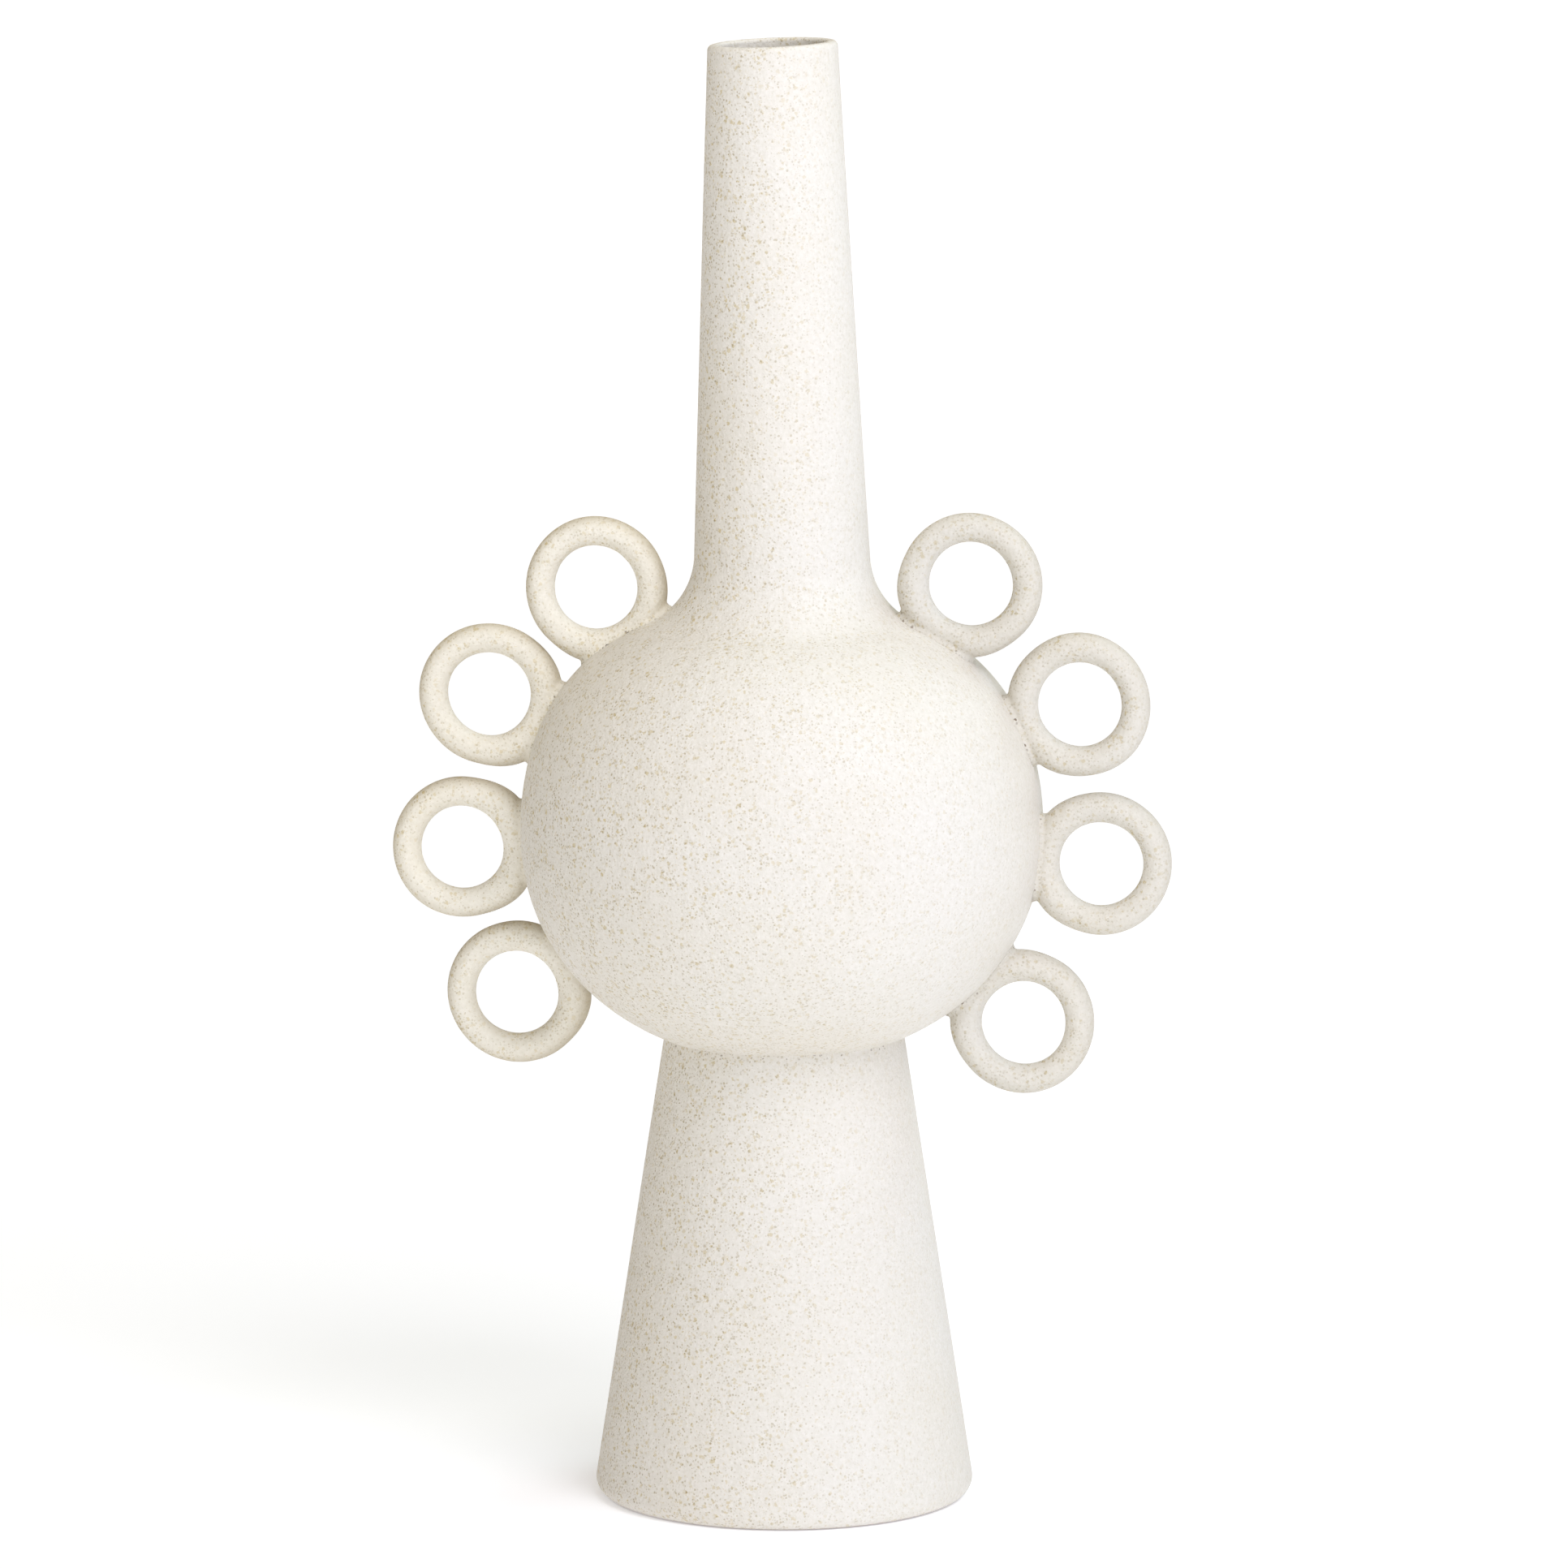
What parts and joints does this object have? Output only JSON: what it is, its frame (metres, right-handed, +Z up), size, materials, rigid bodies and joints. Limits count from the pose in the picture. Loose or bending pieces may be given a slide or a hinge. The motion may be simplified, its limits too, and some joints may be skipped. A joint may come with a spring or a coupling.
{
  "type": "stoneware pottery vase",
  "caption": "Tall handmade stoneware vase: conical foot, round globe, long tapered neck and coil rings luted along both sides of the globe, in a matt speckled off-white glaze.",
  "frame": {"origin": "on the table, under the middle of the foot and globe", "axes": "+Z up along the vase's axis, from the foot to the mouth; +X to the right-hand rings; +Y to the back, across the plane of the rings"},
  "size_m": [0.3234, 0.2148, 0.601],
  "materials": {
    "speckled_glaze": "matt",
    "bare_clay": "rough"
  },
  "bodies": {
    "root": {"foot": "speckled_glaze", "foot_floor": "bare_clay", "globe_lower": "speckled_glaze", "globe_upper": "speckled_glaze", "neck": "speckled_glaze", "ring_right_1": "speckled_glaze", "ring_right_2": "speckled_glaze", "ring_right_3": "speckled_glaze", "ring_right_4": "speckled_glaze", "ring_left_1": "speckled_glaze", "ring_left_2": "speckled_glaze", "ring_left_3": "speckled_glaze", "ring_left_4": "speckled_glaze"}
  },
  "joints": []
}
